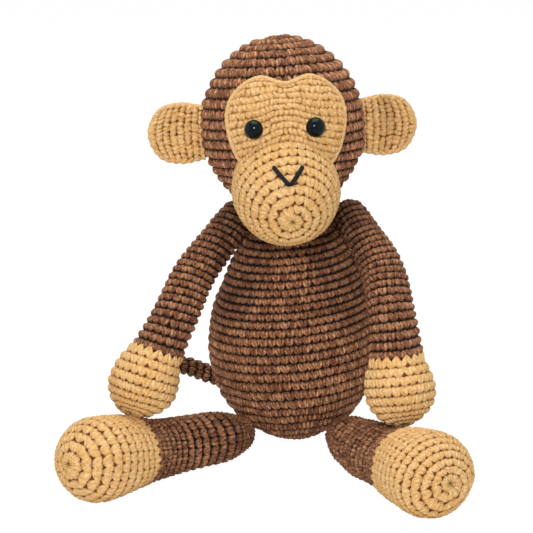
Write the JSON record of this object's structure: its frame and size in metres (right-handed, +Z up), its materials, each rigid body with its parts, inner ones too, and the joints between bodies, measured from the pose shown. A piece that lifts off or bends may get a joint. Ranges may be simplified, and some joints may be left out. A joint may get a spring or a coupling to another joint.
{
  "type": "plush monkey rattle",
  "caption": "Crocheted plush monkey that sits on the floor, with long floppy arms and legs, a heart-shaped face, a round muzzle and a rattle inside its belly.",
  "frame": {"origin": "centre of the flat under the seat, on the floor", "axes": "+Z up from the floor, the monkey faces -Y, +X is its own left"},
  "size_m": [0.1847, 0.1827, 0.1998],
  "materials": {
    "brown_cotton": "crocheted cotton yarn, matt",
    "tan_cotton": "crocheted cotton yarn, matt",
    "black_yarn": "cotton yarn, matt",
    "fibre": "loose polyester fibre",
    "eye_plastic": "moulded black, polished",
    "clear_plastic": "moulded, translucent white",
    "bead_plastic": "moulded red"
  },
  "bodies": {
    "torso": {"body_skin": "brown_cotton", "body_stuffing_front": "fibre", "body_stuffing_back": "fibre", "rattle_capsule_lower": "clear_plastic", "rattle_capsule_upper": "clear_plastic"},
    "neck": {"neck_seam": "brown_cotton"},
    "head": {"head_skin": "brown_cotton", "head_stuffing": "fibre", "face_patch": "tan_cotton", "eye_left": "eye_plastic", "eye_right": "eye_plastic", "eye_washer_left": "clear_plastic", "eye_washer_right": "clear_plastic", "muzzle_skin": "tan_cotton", "muzzle_stuffing": "fibre", "nose_stitch_left": "black_yarn", "nose_stitch_right": "black_yarn"},
    "ear_left": {"ear_left": "tan_cotton"},
    "ear_right": {"ear_right": "tan_cotton"},
    "arm_left": {"arm_left": "brown_cotton", "hand_left": "tan_cotton", "arm_stuffing_left": "fibre"},
    "arm_right": {"arm_right": "brown_cotton", "hand_right": "tan_cotton", "arm_stuffing_right": "fibre"},
    "leg_left": {"leg_left": "brown_cotton", "foot_left": "tan_cotton", "leg_stuffing_left": "fibre"},
    "leg_right": {"leg_right": "brown_cotton", "foot_right": "tan_cotton", "leg_stuffing_right": "fibre"},
    "tail": {"tail": "brown_cotton"},
    "rattle_bead_1": {"rattle_bead_1": "bead_plastic"},
    "rattle_bead_2": {"rattle_bead_2": "bead_plastic"},
    "rattle_bead_3": {"rattle_bead_3": "bead_plastic"},
    "rattle_bead_4": {"rattle_bead_4": "bead_plastic"},
    "rattle_bead_5": {"rattle_bead_5": "bead_plastic"}
  },
  "joints": [
    {"name": "neck_turn", "type": "hinge", "parent": "torso", "child": "neck", "pos_m": [-0.00285, -0.0025, 0.1135], "axis": [0, 0, 1], "range_deg": [-35, 35], "stiffness_Nm_per_rad": 0.03},
    {"name": "neck_nod", "type": "hinge", "parent": "neck", "child": "head", "pos_m": [-0.00285, -0.0025, 0.118], "axis": [0.9986, 0.0523, 0], "range_deg": [-10, 10], "stiffness_Nm_per_rad": 0.25},
    {"name": "ear_left_flap", "type": "hinge", "parent": "head", "child": "ear_left", "pos_m": [0.03654, -0.00279, 0.15675], "axis": [-0.0349, 0, 0.9994], "range_deg": [-35, 25], "stiffness_Nm_per_rad": 0.0005},
    {"name": "ear_right_flap", "type": "hinge", "parent": "head", "child": "ear_right", "pos_m": [-0.04781, -0.00721, 0.15381], "axis": [0.0349, 0, -0.9994], "range_deg": [-35, 25], "stiffness_Nm_per_rad": 0.0005},
    {"name": "arm_left_raise", "type": "hinge", "parent": "torso", "child": "arm_left", "pos_m": [0.02769, 0.00389, 0.11068], "axis": [-0.9023, 0, 0.4311], "range_deg": [0, 100]},
    {"name": "arm_right_raise", "type": "hinge", "parent": "torso", "child": "arm_right", "pos_m": [-0.02769, 0.00389, 0.11068], "axis": [-0.9023, 0, -0.4311], "range_deg": [0, 100]},
    {"name": "leg_left_drop", "type": "hinge", "parent": "torso", "child": "leg_left", "pos_m": [0.02445, -0.02716, 0.00849], "axis": [-0.933, -0.36, 0], "range_deg": [-80, 0]},
    {"name": "leg_right_drop", "type": "hinge", "parent": "torso", "child": "leg_right", "pos_m": [-0.02799, -0.02349, 0.00849], "axis": [-0.7488, 0.6628, 0], "range_deg": [-80, 0]},
    {"name": "tail_swing", "type": "hinge", "parent": "torso", "child": "tail", "pos_m": [-0.00279, 0.03994, 0.02041], "axis": [0, 0, 1], "range_deg": [-150, 0]},
    {"name": "rattle_bead_1_hop", "type": "slide", "parent": "torso", "child": "rattle_bead_1", "axis": [0, 0, 1], "range_m": [0, 0.0165]},
    {"name": "rattle_bead_2_hop", "type": "slide", "parent": "torso", "child": "rattle_bead_2", "axis": [0, 0, 1], "range_m": [0, 0.0165]},
    {"name": "rattle_bead_3_hop", "type": "slide", "parent": "torso", "child": "rattle_bead_3", "axis": [0, 0, 1], "range_m": [0, 0.0165]},
    {"name": "rattle_bead_4_hop", "type": "slide", "parent": "torso", "child": "rattle_bead_4", "axis": [0, 0, 1], "range_m": [0, 0.0165]},
    {"name": "rattle_bead_5_hop", "type": "slide", "parent": "torso", "child": "rattle_bead_5", "axis": [0, 0, 1], "range_m": [0, 0.0165]}
  ],
  "couplings": [
    {"joint": "rattle_bead_2_hop", "follows": "rattle_bead_1_hop", "ratio": 1},
    {"joint": "rattle_bead_3_hop", "follows": "rattle_bead_1_hop", "ratio": 1},
    {"joint": "rattle_bead_4_hop", "follows": "rattle_bead_1_hop", "ratio": 1},
    {"joint": "rattle_bead_5_hop", "follows": "rattle_bead_1_hop", "ratio": 1}
  ]
}
